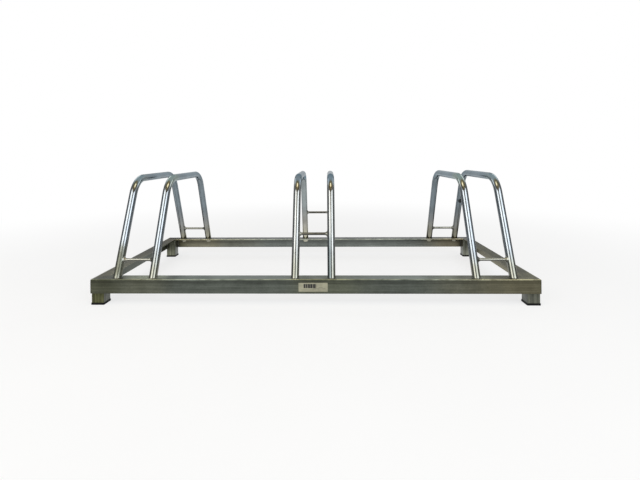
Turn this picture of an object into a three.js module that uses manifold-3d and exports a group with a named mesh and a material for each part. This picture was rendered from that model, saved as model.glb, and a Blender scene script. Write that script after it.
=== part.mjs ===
// A floor rack for three bicycles in zinc-plated steel: a frame of angle section on four
// capped feet, and three pairs of bent tube hoops that each hold one wheel.
// Millimetres, +X along the rack, -Y its front, +Z up, ground at zero under its middle.
import * as THREE from "three";
import { mergeVertices } from "three/addons/utils/BufferGeometryUtils.js";
import Module from "manifold-3d";

const wasm = await Module();
wasm.setup();

// Frame of angle section
const frameLength = 1000;
const frameDepth = 460;
const standingHeight = 25.8; // ground to the lower edge of the rails
const railHeight = 32;
const railWidth = 30;
const railWall = 1.5;
const railRootRadius = 1; // inside the bend of the section

// Feet of square tube
const footWidth = 28;
const footWall = 2;
const footCornerRadius = 1.2;
const footBoreRadius = 0.5; // inside corners

// Plastic caps in the feet
const capThickness = 4.2;
const capOverhang = 1.2;
const capChamfer = 0.8;
const capFloor = 2;
const capWall = 1.4;
const capInsert = 13; // how far the cap reaches into the foot
const capInsertRadius = 1.1;
const capLip = 1; // how far a lip stands out, and its height
const capLips = 3;

// Hoops of round tube, two to a bay
const bayInset = 95; // each end of the frame to the middle of its bay
const hoopSpacing = 82;
const hoopHeight = 218.5; // top of the rails to the centre of the top bar
const tubeDiameter = 18;
const tubeWall = 1.5;
const bendRadius = 60; // at the tube's centre
const legInset = 15; // frame's face to the leg's centre, at the top of the rails
const legLeanDegrees = 23.3;
const legEndDrop = 7; // the leg's end below the top of the rails

// Cross rods between the legs of a pair
const rodDiameter = 6.5;
const rodFlare = 4.5; // the weld's foot round each end, along and across the rod
const lowRodHeight = 36; // above the top of the rails
const highRodHeight = 90.5;

// Paper label on the front rail
const labelLength = 64.5;
const labelHeight = 19.5;
const labelThickness = 0.2;
const labelMargin = 4.8; // above the lower edge of the rail
const labelGap = 0.3;

// Clearances, and what a cut runs past the wall that it goes through
const weldGap = 0.3;
const capFit = 0.25;
const cutOverrun = 1;

// Facets
const tubeSides = 20;
const boreSides = 12;
const holeSides = 24;
const rodSides = 14;
const bendSteps = 8;
const flareSteps = 4;
const cornerSteps = 3;

// Each bay's place along the rack, in pitches from the middle, and its rods' height
const bays = [
  { name: "left_bay", place: -1, rodHeight: lowRodHeight },
  { name: "middle_bay", place: 0, rodHeight: highRodHeight },
  { name: "right_bay", place: 1, rodHeight: lowRodHeight },
];
const sides = [
  { name: "left", sign: -1 },
  { name: "right", sign: 1 },
];
const ends = [
  { name: "front", sign: -1 },
  { name: "back", sign: 1 },
];

const railTop = standingHeight + railHeight;
const bayPitch = frameLength / 2 - bayInset;
const tubeRadius = tubeDiameter / 2;
const rodRadius = rodDiameter / 2;
const legLean = THREE.MathUtils.degToRad(legLeanDegrees);
const halfTurn = Math.PI;

const railSteel = new THREE.MeshStandardMaterial({ color: 0x666a62, roughness: 0.48, metalness: 0.9 });
const tubeSteel = new THREE.MeshStandardMaterial({ color: 0xc3c6c4, roughness: 0.2, metalness: 1 });
const rodSteel = new THREE.MeshStandardMaterial({ color: 0x9a9a90, roughness: 0.32, metalness: 1 });
const footSteel = new THREE.MeshStandardMaterial({ color: 0x62634f, roughness: 0.5, metalness: 0.9 });
const capPlastic = new THREE.MeshStandardMaterial({ color: 0x121212, roughness: 0.55, metalness: 0 });
const labelPaper = new THREE.MeshStandardMaterial({ color: 0xb8b69c, roughness: 0.8, metalness: 0 });

// The radius that a polygon's corners need, so that its flats lie at the radius given
function outsideRadius(radius, polygonSides) {
  return radius / Math.cos(Math.PI / polygonSides);
}

function circlePoints(radius, polygonSides) {
  const points = [];
  for (let i = 0; i < polygonSides; i++) {
    const angle = (2 * Math.PI * i) / polygonSides;
    points.push(new THREE.Vector2(radius * Math.cos(angle), radius * Math.sin(angle)));
  }
  return points;
}

// A closed geometry as a solid that can be cut
function solidOf(geometry) {
  const bare = geometry.clone();
  bare.deleteAttribute("normal");
  bare.deleteAttribute("uv");
  const merged = mergeVertices(bare);
  const mesh = new wasm.Mesh({
    numProp: 3,
    vertProperties: merged.attributes.position.array,
    triVerts: new Uint32Array(merged.index.array),
  });
  return new wasm.Manifold(mesh);
}

function geometryOf(solid) {
  const mesh = solid.getMesh();
  const geometry = new THREE.BufferGeometry();
  geometry.setAttribute("position", new THREE.BufferAttribute(mesh.vertProperties, 3));
  geometry.setIndex(new THREE.BufferAttribute(mesh.triVerts, 1));
  const faceted = geometry.toNonIndexed();
  faceted.computeVertexNormals();
  return faceted;
}

// Distance from the frame's outer face in to a leg's centreline, at a height above the rails
function legCentre(height) {
  return legInset + height * Math.tan(legLean);
}

// A round cutter along a leg of the front side, centred at a height above the rails.
// It lies in the plane through the leg, with y measured from the frame's front face.
function legCutter(radius, centreHeight, length) {
  const cutter = new THREE.CylinderGeometry(radius, radius, length, holeSides);
  cutter.rotateX(halfTurn / 2 - legLean);
  cutter.translate(0, legCentre(centreHeight), centreHeight);
  return cutter;
}

// Angle section, drawn with x as the distance in from the outer face and y down from the top
function railSection() {
  const heelRadius = railRootRadius + railWall;
  const section = new THREE.Shape();
  section.moveTo(0, -heelRadius);
  for (let i = 1; i <= cornerSteps; i++) {
    const angle = (halfTurn / 2) * (i / cornerSteps);
    section.lineTo(heelRadius * (1 - Math.cos(angle)), heelRadius * (Math.sin(angle) - 1));
  }
  section.lineTo(railWidth, 0);
  section.lineTo(railWidth, -railWall);
  for (let i = 0; i <= cornerSteps; i++) {
    const angle = (halfTurn / 2) * (i / cornerSteps);
    section.lineTo(
      heelRadius - railRootRadius * Math.sin(angle),
      railRootRadius * Math.cos(angle) - heelRadius,
    );
  }
  section.lineTo(railWall, -railHeight);
  section.lineTo(0, -railHeight);
  return section;
}

// A rail along X with its outer face at y = 0 and its top at z = 0, mitred at both ends
function railGeometry(length) {
  const rail = new THREE.ExtrudeGeometry(railSection(), { depth: length, bevelEnabled: false });
  rail.translate(0, 0, -length / 2);
  const position = rail.attributes.position;
  const endGap = weldGap / Math.SQRT2;
  for (let i = 0; i < position.count; i++) {
    const reach = length / 2 - position.getX(i) - endGap;
    position.setZ(i, Math.sign(position.getZ(i)) * reach);
  }
  rail.applyMatrix4(new THREE.Matrix4().makeBasis(
    new THREE.Vector3(0, 1, 0),
    new THREE.Vector3(0, 0, 1),
    new THREE.Vector3(1, 0, 0),
  ));
  return rail;
}

function hoopPlaces() {
  return bays.flatMap((bay) => sides.map((side) => bay.place * bayPitch + (side.sign * hoopSpacing) / 2));
}

// The front and back rails, with a slanted hole through the top leg for each hoop's leg
function drilledRailGeometry() {
  const holeRadius = outsideRadius(tubeRadius + weldGap, holeSides);
  const reach = railWall / 2 + cutOverrun + holeRadius * Math.sin(legLean);
  const cutter = legCutter(holeRadius, -railWall / 2, (2 * reach) / Math.cos(legLean));
  let rail = solidOf(railGeometry(frameLength));
  for (const place of hoopPlaces()) {
    rail = rail.subtract(solidOf(cutter.clone().translate(place, 0, 0)));
  }
  return geometryOf(rail);
}

// A rounded square's corner points, at one height
function squareRing({ half, radius, z }) {
  const core = half - radius;
  const ring = [];
  for (let corner = 0; corner < 4; corner++) {
    for (let i = 0; i <= cornerSteps; i++) {
      const angle = (halfTurn / 2) * (corner + i / cornerSteps);
      const middle = (halfTurn / 2) * (corner + 1 / 2);
      const coreX = core * Math.sign(Math.cos(middle));
      const coreY = core * Math.sign(Math.sin(middle));
      ring.push([coreX + radius * Math.cos(angle), coreY + radius * Math.sin(angle), z]);
    }
  }
  return ring;
}

// Rounded squares joined from one to the next, as a lathe does with circles.
// The profile either closes on itself or is capped at both ends.
function squareTurned(profile, closed) {
  const rings = profile.map(squareRing);
  const count = rings[0].length;
  const corners = rings.flat();
  const faces = [];
  const joins = closed ? rings.length : rings.length - 1;
  for (let j = 0; j < joins; j++) {
    const here = j * count;
    const next = ((j + 1) % rings.length) * count;
    for (let i = 0; i < count; i++) {
      const beside = (i + 1) % count;
      faces.push(here + i, here + beside, next + beside);
      faces.push(here + i, next + beside, next + i);
    }
  }
  if (!closed) {
    const last = (rings.length - 1) * count;
    for (let i = 1; i < count - 1; i++) {
      faces.push(0, i + 1, i);
      faces.push(last, last + i, last + i + 1);
    }
  }
  const geometry = new THREE.BufferGeometry();
  geometry.setAttribute("position", new THREE.Float32BufferAttribute(corners.flat(), 3));
  geometry.setIndex(faces);
  const faceted = geometry.toNonIndexed();
  faceted.computeVertexNormals();
  return faceted;
}

// Square tube from the cap up to the underside of the rails' top legs.
// Its top edge is bevelled, to clear the root of the angle section.
function footGeometry() {
  const bottom = capThickness + weldGap;
  const top = railTop - railWall - weldGap;
  const outerHalf = footWidth / 2;
  const innerHalf = outerHalf - footWall;
  const bevel = Math.min(railRootRadius, footWall / 2);
  return squareTurned([
    { half: outerHalf, radius: footCornerRadius, z: bottom },
    { half: outerHalf, radius: footCornerRadius, z: top - bevel },
    { half: outerHalf - bevel, radius: footCornerRadius - bevel, z: top },
    { half: innerHalf, radius: footBoreRadius, z: top },
    { half: innerHalf, radius: footBoreRadius, z: bottom },
  ], true);
}

// Cap with a flange that the foot stands on, and a hollow insert with lips round it
function capGeometry() {
  const flangeHalf = footWidth / 2 + capOverhang;
  const flangeRadius = footCornerRadius + capOverhang;
  const lipHalf = footWidth / 2 - footWall - capFit;
  const insertHalf = lipHalf - capLip;
  const hollowHalf = insertHalf - capWall;
  const insertTop = capThickness + capInsert;
  const profile = [
    { half: flangeHalf - capChamfer, radius: flangeRadius, z: 0 },
    { half: flangeHalf, radius: flangeRadius, z: capChamfer },
    { half: flangeHalf, radius: flangeRadius, z: capThickness },
    { half: insertHalf, radius: capInsertRadius, z: capThickness },
  ];
  for (let i = 0; i < capLips; i++) {
    const base = capThickness + (capInsert / capLips) * (i + 1 / 2);
    profile.push(
      { half: insertHalf, radius: capInsertRadius, z: base },
      { half: lipHalf, radius: capInsertRadius, z: base },
      { half: insertHalf, radius: capInsertRadius, z: base + capLip },
    );
  }
  profile.push(
    { half: insertHalf, radius: capInsertRadius, z: insertTop },
    { half: hollowHalf, radius: capInsertRadius, z: insertTop },
    { half: hollowHalf, radius: capInsertRadius, z: capFloor },
  );
  return squareTurned(profile, false);
}

// A tube's centreline given station by station, so that a straight run takes one step and
// a bend takes several.
class Centreline extends THREE.Curve {
  constructor(stations) {
    super();
    this.stations = stations;
  }
  station(u) {
    return this.stations[Math.round(u * (this.stations.length - 1))];
  }
  getPointAt(u) {
    return this.station(u).point.clone();
  }
  getTangentAt(u) {
    return this.station(u).tangent.clone();
  }
}

// Centreline in the plane x = 0: up the front leg, through a bend, along the level top bar,
// and down the back leg, which mirrors the front one.
function hoopCentreline() {
  const turn = halfTurn / 2 - legLean;
  const heading = (lean) => new THREE.Vector3(0, Math.sin(lean), Math.cos(lean));
  const inward = (lean) => new THREE.Vector3(0, Math.cos(lean), -Math.sin(lean));
  const placed = (height) => new THREE.Vector3(0, legCentre(height) - frameDepth / 2, railTop + height);
  const bendStart = placed(hoopHeight).addScaledVector(heading(legLean), -bendRadius * Math.tan(turn / 2));
  const bendCentre = bendStart.clone().addScaledVector(inward(legLean), bendRadius);
  const front = [{ point: placed(-legEndDrop), tangent: heading(legLean) }];
  for (let i = 0; i <= bendSteps; i++) {
    const lean = legLean + (turn * i) / bendSteps;
    front.push({
      point: bendCentre.clone().addScaledVector(inward(lean), -bendRadius),
      tangent: heading(lean),
    });
  }
  const back = front.map(({ point, tangent }) => ({
    point: new THREE.Vector3(0, -point.y, point.z),
    tangent: new THREE.Vector3(0, tangent.y, -tangent.z),
  }));
  return new Centreline([...front, ...back.reverse()]);
}

// Hollow tube along the centreline, open at both ends
function hoopGeometry() {
  const section = new THREE.Shape(circlePoints(tubeRadius, tubeSides));
  section.holes.push(new THREE.Path(circlePoints(tubeRadius - tubeWall, boreSides)));
  const path = hoopCentreline();
  return new THREE.ExtrudeGeometry(section, { steps: path.stations.length - 1, extrudePath: path });
}

// Rod along X between the two front legs of a pair, at its height above the rails. Each end
// swells into a weld and is hollowed to sit round the leg.
function rodGeometry(rodHeight) {
  const legAt = hoopSpacing / 2;
  const flareEnd = legAt - tubeRadius - weldGap;
  const profile = [new THREE.Vector2(0, -legAt), new THREE.Vector2(rodRadius + rodFlare, -legAt)];
  for (let i = 0; i <= flareSteps; i++) {
    const angle = (halfTurn / 2) * (i / flareSteps);
    profile.push(new THREE.Vector2(
      rodRadius + rodFlare * (1 - Math.sin(angle)),
      rodFlare * (1 - Math.cos(angle)) - flareEnd,
    ));
  }
  const mirrored = profile.map((point) => new THREE.Vector2(point.x, -point.y)).reverse();
  const blank = new THREE.LatheGeometry([...profile, ...mirrored], rodSides);
  blank.rotateZ(-halfTurn / 2);
  blank.translate(0, legCentre(rodHeight), rodHeight);
  const copeRadius = outsideRadius(tubeRadius + weldGap, holeSides);
  const cutter = legCutter(copeRadius, rodHeight, 2 * (rodRadius + rodFlare + cutOverrun));
  let rod = solidOf(blank);
  for (const side of sides) {
    rod = rod.subtract(solidOf(cutter.clone().translate(side.sign * legAt, 0, 0)));
  }
  return geometryOf(rod);
}

function named(name, geometry, material) {
  const mesh = new THREE.Mesh(geometry, material);
  mesh.name = name;
  return mesh;
}

// Turned about the rack's middle, so that a piece drawn on the front side stands on another
function turned(mesh, angle) {
  const holder = new THREE.Group();
  holder.rotation.z = angle;
  holder.add(mesh);
  return holder;
}

function makeRails() {
  const rails = new THREE.Group();
  const long = drilledRailGeometry();
  const short = railGeometry(frameDepth);
  const placed = [
    { name: "front_rail", geometry: long, outFrom: frameDepth / 2, turn: 0 },
    { name: "right_rail", geometry: short, outFrom: frameLength / 2, turn: halfTurn / 2 },
    { name: "back_rail", geometry: long, outFrom: frameDepth / 2, turn: halfTurn },
    { name: "left_rail", geometry: short, outFrom: frameLength / 2, turn: -halfTurn / 2 },
  ];
  for (const { name, geometry, outFrom, turn } of placed) {
    const rail = named(name, geometry, railSteel);
    rail.position.set(0, -outFrom, railTop);
    rails.add(turned(rail, turn));
  }
  return rails;
}

function makeFeet() {
  const feet = new THREE.Group();
  const foot = footGeometry();
  const cap = capGeometry();
  const inset = railWall + weldGap + footWidth / 2;
  for (const end of ends) {
    for (const side of sides) {
      const corner = new THREE.Group();
      corner.position.set(side.sign * (frameLength / 2 - inset), end.sign * (frameDepth / 2 - inset), 0);
      corner.add(named(`${end.name}_${side.name}_foot`, foot, footSteel));
      corner.add(named(`${end.name}_${side.name}_cap`, cap, capPlastic));
      feet.add(corner);
    }
  }
  return feet;
}

function makeBay({ name, place, rodHeight }, hoop) {
  const bay = new THREE.Group();
  bay.position.x = place * bayPitch;
  for (const side of sides) {
    const mesh = named(`${name}_${side.name}_hoop`, hoop, tubeSteel);
    mesh.position.x = (side.sign * hoopSpacing) / 2;
    bay.add(mesh);
  }
  const rod = rodGeometry(rodHeight);
  for (const end of ends) {
    const mesh = named(`${name}_${end.name}_rod`, rod, rodSteel);
    mesh.position.set(0, -frameDepth / 2, railTop);
    bay.add(turned(mesh, end.sign > 0 ? halfTurn : 0));
  }
  return bay;
}

function makeLabel() {
  const sheet = new THREE.BoxGeometry(labelLength, labelThickness, labelHeight);
  const label = named("label", sheet, labelPaper);
  label.position.set(
    0,
    -frameDepth / 2 - labelGap - labelThickness / 2,
    standingHeight + labelMargin + labelHeight / 2,
  );
  return label;
}

const rack = new THREE.Group();
const hoop = hoopGeometry();
rack.add(makeRails(), makeFeet(), ...bays.map((bay) => makeBay(bay, hoop)), makeLabel());

export default rack;
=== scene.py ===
"""Floor rack for three bicycles, in zinc-plated steel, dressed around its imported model.

Metres, +X along the rack, -Y its front, +Z up, ground at zero under its middle.
"""
import math

import bmesh
import bpy
from bpy.props import FloatProperty, FloatVectorProperty, IntProperty, PointerProperty
from mathutils import Matrix, Vector


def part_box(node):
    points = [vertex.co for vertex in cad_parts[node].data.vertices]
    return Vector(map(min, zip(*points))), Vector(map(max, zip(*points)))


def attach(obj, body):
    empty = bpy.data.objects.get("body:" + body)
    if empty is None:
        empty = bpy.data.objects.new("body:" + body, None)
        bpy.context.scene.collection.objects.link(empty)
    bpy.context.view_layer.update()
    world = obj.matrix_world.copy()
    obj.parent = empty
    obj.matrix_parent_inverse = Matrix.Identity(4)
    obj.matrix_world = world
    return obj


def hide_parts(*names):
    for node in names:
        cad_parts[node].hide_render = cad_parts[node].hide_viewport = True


bl_info = {
    "name": "Bicycle floor rack",
    "version": (1, 0, 0),
    "blender": (4, 5, 0),
    "location": "View3D > Sidebar > Rack",
    "description": "Makes the pieces of a welded floor rack for three bicycles, and a studio",
    "category": "Object",
}

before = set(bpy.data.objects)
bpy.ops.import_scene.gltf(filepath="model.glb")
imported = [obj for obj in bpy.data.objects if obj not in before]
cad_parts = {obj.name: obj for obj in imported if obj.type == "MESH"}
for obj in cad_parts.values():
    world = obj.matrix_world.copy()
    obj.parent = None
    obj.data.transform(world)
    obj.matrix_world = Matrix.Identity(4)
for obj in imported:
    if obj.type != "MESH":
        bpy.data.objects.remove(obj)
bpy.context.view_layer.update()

BAYS = ("left_bay", "middle_bay", "right_bay")
SIDES = ("left", "right")
ENDS = ("front", "back")
CORNERS = [(end, side) for end in ENDS for side in SIDES]
HOOPS = [f"{bay}_{side}_hoop" for bay in BAYS for side in SIDES]
HAND = {"left": -1.0, "right": 1.0, "front": -1.0, "back": 1.0}
QUARTER = math.pi / 2
WHITE = (1.0, 1.0, 1.0, 1.0)
CLEARANCE = 0.0003  # between two pieces that a weld or glue joins


def need(condition, message):
    """Stops the script where a piece can't be made."""
    if not condition:
        raise RuntimeError(message)


def centre(node):
    """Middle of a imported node's box."""
    low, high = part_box(node)
    return (low + high) / 2


def frame_box():
    """Corners of the box that the front rail and the two side rails reach."""
    low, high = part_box("front_rail")
    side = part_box("right_rail")[1].x
    return Vector((-side, low.y, low.z)), Vector((side, high.y, high.z))


def length(name, description, default):
    """A length that a user may change."""
    return FloatProperty(
        name=name, description=description, default=default, min=0.0, precision=5,
        unit="LENGTH", subtype="DISTANCE",
    )


def share(name, description, default):
    """A number between nought and one."""
    return FloatProperty(
        name=name, description=description, default=default, min=0.0, max=1.0, subtype="FACTOR"
    )


def level(name, description, default):
    """A brightness, where one is white."""
    return FloatProperty(
        name=name, description=description, default=default, min=0.0, subtype="UNSIGNED"
    )


def lens_shift(name, description, default):
    """A shift of the lens, as a share of the sensor's width."""
    return FloatProperty(name=name, description=description, default=default, subtype="FACTOR")


def angle(name, description, default):
    """An angle, given here in degrees."""
    return FloatProperty(
        name=name, description=description, default=math.radians(default),
        unit="ROTATION", subtype="ANGLE",
    )


def whole(name, description, default, lowest):
    """A whole number."""
    return IntProperty(
        name=name, description=description, default=default, min=lowest, subtype="UNSIGNED"
    )


def colour(name, description, default):
    """A linear colour."""
    return FloatVectorProperty(
        name=name, description=description, default=default, min=0.0, max=1.0,
        size=3, subtype="COLOR",
    )


class RackSizes(bpy.types.PropertyGroup):
    """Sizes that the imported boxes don't give."""

    rail_wall: length("Rail wall", "Thickness of the angle section", 0.003)
    rail_heel: length("Rail heel radius", "Outside radius of the section's corner", 0.0025)
    rail_root: length("Rail root radius", "Inside radius of the section's bend", 0.001)
    rail_toe: length("Rail toe radius", "Rounding of the section's two edges", 0.0003)
    mitre_gap: length("Mitre gap", "Gap between two rails at a corner, filled by its weld", 0.0003)
    foot_wall: length("Foot wall", "Thickness of the square tube", 0.002)
    foot_radius: length("Foot corner radius", "Outside corners of the square tube", 0.0012)
    cap_flange: length("Cap flange", "Thickness of the cap under the foot", 0.0042)
    cap_chamfer: length("Cap rounding", "Rounding of the cap's lower edge", 0.0008)
    tube_wall: length("Tube wall", "Thickness of the hoops' tube", 0.0015)
    bend_radius: length("Bend radius", "Radius of a hoop's bend at the tube's middle", 0.06)
    leg_lean: angle("Leg lean", "Lean of the legs from upright", 23.3)
    rod_diameter: length("Rod diameter", "Diameter of the cross rods", 0.0065)
    rod_flare: length("Rod weld", "Foot of the weld round a rod's end", 0.0072)
    under_bead: length("Weld under the rails", "Radius of the bead round a leg's end", 0.0018)
    over_bead: length("Weld on the rails", "Radius of the bead round a leg's base", 0.0008)
    seam_bead: length("Seam weld", "Radius of the beads at the feet", 0.0013)
    label_radius: length("Label corner radius", "Rounding of the label's corners", 0.0008)


class RackFinish(bpy.types.PropertyGroup):
    """Colours and shine of the materials."""

    rail_left: colour("Rails, left", "Zinc of the rails at the left end", (0.088, 0.092, 0.064))
    rail_middle: colour("Rails, middle", "Zinc of the rails in the middle", (0.103, 0.115, 0.099))
    rail_right: colour("Rails, right", "Zinc of the rails at the right end", (0.125, 0.117, 0.077))
    tube: colour("Hoops", "Zinc of the outer hoops", (0.275, 0.300, 0.322))
    tube_middle: colour("Hoops, middle pair", "Zinc of the middle hoops", (0.295, 0.303, 0.298))
    # The level bars' bluer tint is a painted reflection
    tube_top: colour("Hoops, top bar", "Zinc of the hoops' level bars", (0.262, 0.305, 0.336))
    tube_foot: colour("Hoops, leg ends", "Zinc of the hoops near the rails", (0.235, 0.237, 0.200))
    tube_stain: colour("Hoops, stain", "Stain low on the first leg", (0.120, 0.123, 0.086))
    # A darker, bluer band low down one side of a middle leg
    tube_smear: colour("Hoops, smear", "Smear low on a middle leg", (0.085, 0.112, 0.125))
    rod: colour("Rods", "Zinc of the cross rods", (0.300, 0.300, 0.262))
    foot_left: colour("Feet, left", "Zinc of the feet at the left", (0.096, 0.099, 0.050))
    foot_right: colour("Feet, right", "Zinc of the feet at the right", (0.126, 0.131, 0.106))
    # The tone of the feet's inner sides is painted light
    foot_side: colour("Feet, inner sides", "Zinc of the feet's inner sides", (0.118, 0.124, 0.112))
    weld: colour("Welds", "Zinc over the weld metal", (0.270, 0.262, 0.225))
    cap: colour("Caps", "Moulded plastic of the caps", (0.006, 0.006, 0.006))
    paper: colour("Label", "Paper of the label", (0.340, 0.330, 0.238))
    ink: colour("Label bars", "Print on the label", (0.016, 0.016, 0.014))
    tube_shine: share("Hoop roughness", "Roughness of the hoops' zinc", 0.13)
    rail_shine: share("Rail roughness", "Roughness of the rails' zinc", 0.34)


class RackStudio(bpy.types.PropertyGroup):
    """Camera, floor and light."""

    camera_place: FloatVectorProperty(
        name="Camera place", description="Where the camera stands",
        default=(0.03569, -1.13616, 0.33556), size=3, unit="LENGTH", subtype="XYZ",
    )
    camera_yaw: angle("Camera yaw", "Turn of the camera to its left", 1.3236)
    camera_roll: angle("Camera roll", "Tilt of the camera about its axis", -0.3896)
    focal_length: FloatProperty(
        name="Focal length", description="Focal length in millimetres on a 36 mm sensor",
        default=23.03, min=0.0, unit="CAMERA",
    )
    shift_x: lens_shift("Shift X", "Sideways shift of the lens", 0.00183)
    shift_y: lens_shift("Shift Y", "Upward shift of the lens", -0.13455)
    floor_colour: colour("Floor", "Colour of the floor", (0.88, 0.88, 0.88))
    floor_glow: share("Floor whiteness", "Share of plain white in the floor near the rack", 0.74)
    ambient: level("Ambient light", "Strength of the even light from all round", 0.38)
    softbox: level("Softbox light", "Brightness of the two front softboxes", 3.2)
    rear_softbox: level("Rear softbox light", "Brightness of the two rear softboxes", 1.5)
    lamp: level("Overhead lamp", "Brightness of the warm lamp overhead", 3.2)
    ceiling: level("Ceiling", "Brightness of the studio above and behind", 0.75)
    gap: level("Gap", "Brightness of the studio between the softboxes", 0.5)
    shadow: level("Dark band", "Brightness of the studio just above the softboxes", 0.13)
    zenith: level("Dark ceiling", "Brightness of the studio round the lamp", 0.42)
    card: level("Side cards", "Brightness of the cards that the tubes' edges show", 0.32)
    back_card: level("Back card", "Brightness of the card that the rails' tops show", 0.78)
    back_card_low: level("Back card, low", "Brightness of its foot, seen in the level bars", 0.75)


class Graph:
    """Adds nodes to a tree. Inputs are given by name or number, as a value or as a socket."""

    def __init__(self, tree):
        self.tree = tree

    def add(self, kind, inputs=None, **settings):
        node = self.tree.nodes.new(kind)
        for key, value in settings.items():
            setattr(node, key, value)
        for key, value in (inputs or {}).items():
            self.put(node.inputs[key], value)
        return node

    def put(self, socket, value):
        if isinstance(value, bpy.types.NodeSocket):
            self.tree.links.new(value, socket)
        else:
            socket.default_value = value

    def math(self, operation, *values, clamp=False):
        inputs = dict(enumerate(values))
        return self.add("ShaderNodeMath", inputs, operation=operation, use_clamp=clamp).outputs[0]

    def times(self, first, *others):
        for other in others:
            first = self.math("MULTIPLY", first, other)
        return first

    def plus(self, first, second):
        return self.math("ADD", first, second)

    def minus(self, first, second):
        return self.math("SUBTRACT", first, second)

    def absolute(self, value):
        """A number without its sign."""
        return self.math("ABSOLUTE", value)

    def vector(self, operation, first, second):
        inputs = {0: first, 1: second}
        return self.add("ShaderNodeVectorMath", inputs, operation=operation).outputs[0]

    def fade(self, value, start, end, low=0.0, high=1.0):
        """value between start and end, as a number between low and high."""
        inputs = {"Value": value, "From Min": start, "From Max": end, "To Min": low, "To Max": high}
        return self.add("ShaderNodeMapRange", inputs, interpolation_type="SMOOTHSTEP").outputs[0]

    def between(self, value, low, high, edge):
        """One where a value lies between two others, with a soft edge."""
        rise = self.fade(value, low - edge, low + edge)
        return self.times(rise, self.fade(value, high - edge, high + edge, 1.0, 0.0))

    def noise(self, vector, scale, detail=3.0, roughness=0.5):
        inputs = {"Vector": vector, "Scale": scale, "Detail": detail, "Roughness": roughness}
        return self.add("ShaderNodeTexNoise", inputs).outputs[0]

    def drawn(self, vector, stretch, detail=3.0, roughness=0.5):
        """Noise with its own scale along each axis."""
        return self.noise(self.vector("MULTIPLY", vector, stretch), 1.0, detail, roughness)

    def swing(self, noise, reach, middle=0.0):
        """Noise spread to both sides of a middle."""
        return self.fade(noise, 0.3, 0.7, middle - reach, middle + reach)

    def blend(self, amount, low, high):
        """Two colours mixed."""
        return self.add("ShaderNodeMix", {0: amount, 6: low, 7: high}, data_type="RGBA").outputs[2]

    def mix(self, amount, low, high):
        """Two numbers mixed."""
        return self.add("ShaderNodeMix", {0: amount, 2: low, 3: high}, data_type="FLOAT").outputs[0]

    def scale(self, vector, factor):
        """A colour or place times a number."""
        inputs = {0: vector, "Scale": factor}
        return self.add("ShaderNodeVectorMath", inputs, operation="SCALE").outputs[0]

    def cast(self, base, amount, tint, plain=WHITE):
        """A colour times a tint where the amount is one, and times the plain one elsewhere."""
        return self.vector("MULTIPLY", base, self.blend(amount, plain, tint))

    def axes(self, vector):
        """The three parts of a place."""
        return self.add("ShaderNodeSeparateXYZ", {0: vector}).outputs

    def distance(self, place, point):
        """Distance from a point."""
        inputs = {0: place, 1: point}
        return self.add("ShaderNodeVectorMath", inputs, operation="DISTANCE").outputs["Value"]

    def bump(self, height, strength, distance, normal=None):
        inputs = {"Height": height, "Strength": strength, "Distance": distance}
        if normal is not None:
            inputs["Normal"] = normal
        return self.add("ShaderNodeBump", inputs).outputs[0]

    def backdrop_rays(self):
        """One for the rays that see the white background: camera, glossy and transmission rays."""
        rays = self.add("ShaderNodeLightPath").outputs
        seen = self.math("MAXIMUM", rays["Is Camera Ray"], rays["Is Glossy Ray"])
        return self.math("MAXIMUM", seen, rays["Is Transmission Ray"])


class Paint(Graph):
    """The graph of a new material, with the place on the object in metres."""

    def __init__(self, name):
        self.material = bpy.data.materials.new(name)
        self.material.use_nodes = True
        super().__init__(self.material.node_tree)
        self.tree.nodes.clear()
        self.output = self.add("ShaderNodeOutputMaterial")
        self.place = self.add("ShaderNodeTexCoord").outputs["Object"]

    def surface(self, kind, inputs):
        """The material, ended by a shader."""
        self.put(self.output.inputs["Surface"], self.add(kind, inputs).outputs[0])
        return self.material

    def zinc(self, base, stretch, roughness, spread, dirt, lines, waves=0.12, edge=WHITE, run=None):
        """Zinc plating over steel: drawn lines along the bar, soft clouds, small crystals and dirt.

        base is its colour, stretch the pattern's scale along each axis, spread how much the
        roughness varies, dirt how much the stains darken it, lines how strong the lines are,
        waves how wavy the surface is, edge its tint at a grazing angle, and run the pattern's
        own coordinates. The roughness and the edge are given as a value or a socket.
        """
        place = self.place if run is None else run
        drawn = self.drawn(place, stretch, 4.0, 0.62)
        clouds = self.noise(place, 24.0, 5.0, 0.6)
        stains = self.noise(place, 9.0, 6.0, 0.68)
        crystals = self.add("ShaderNodeTexVoronoi", {"Vector": place, "Scale": 420.0}, feature="F1")
        spangle = self.add("ShaderNodeSeparateColor", {0: crystals.outputs["Color"]}).outputs[0]
        specks = self.fade(self.noise(place, 260.0, 2.0), 0.66, 0.74)
        contrast, glint, speck_depth = 0.28 * lines, 0.07 * lines, 0.18
        tone = self.times(
            self.swing(clouds, 0.14, 1.0),
            self.fade(drawn, 0.25, 0.75, 1.0 - contrast, 1.0 + contrast),
            self.fade(spangle, 0.0, 1.0, 1.0 - glint, 1.0 + glint),
            self.fade(stains, 0.52, 0.72, 1.0, 1.0 - dirt),
            self.minus(1.0, self.times(specks, speck_depth)),
        )
        matt = self.plus(roughness, self.swing(clouds, spread / 2))
        matt = self.plus(matt, self.fade(stains, 0.5, 0.75, 0.0, 0.5 * dirt))
        matt = self.math("ADD", matt, self.swing(drawn, 0.2 * spread), clamp=True)
        scratches = self.bump(drawn, 0.25 * lines, 0.00012)
        inputs = {
            "Base Color": self.scale(base, tone),
            "Metallic": 1.0,
            "Roughness": matt,
            "Normal": self.bump(clouds, waves, 0.0006, scratches),
            "Specular Tint": edge,
        }
        return self.surface("ShaderNodeBsdfPrincipled", inputs)


def opaque(values):
    """A colour with its alpha."""
    return (*values, 1.0)


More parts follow.
